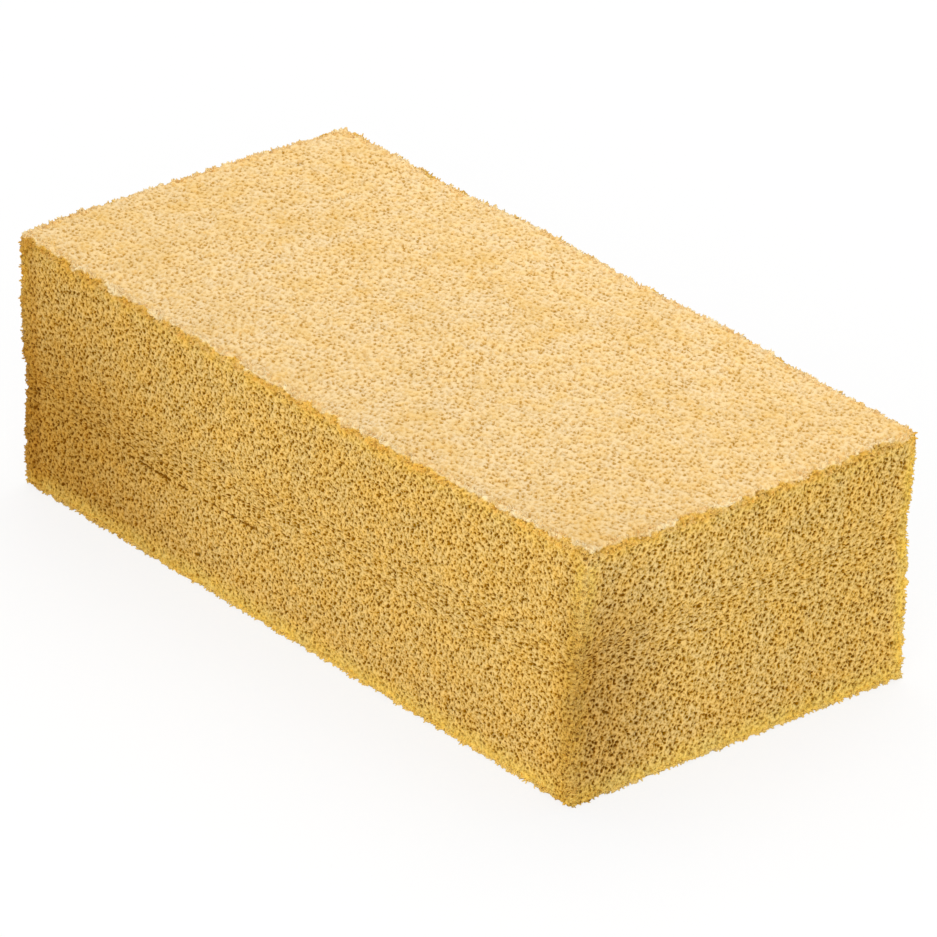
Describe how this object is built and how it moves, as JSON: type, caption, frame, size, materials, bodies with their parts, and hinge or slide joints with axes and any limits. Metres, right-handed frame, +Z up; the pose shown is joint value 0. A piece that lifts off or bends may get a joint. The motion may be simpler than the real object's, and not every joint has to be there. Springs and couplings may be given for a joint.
{
  "type": "cleaning sponge",
  "caption": "Rectangular block of coarse open-cell foam with sawn faces and a pressed crease round its sides, held in the hand for wiping and scrubbing.",
  "frame": {"origin": "middle of the block's outline, in the plane of the flat foot it rests on", "axes": "+X along the block's length, towards the end with the dented corner; +Y across its width, away from the front side; +Z up"},
  "size_m": [0.2034, 0.1028, 0.0664],
  "materials": {
    "foam": "matte open-cell foam, golden yellow, paler on the top"
  },
  "bodies": {
    "root": {"foam_block": "foam"}
  },
  "joints": []
}
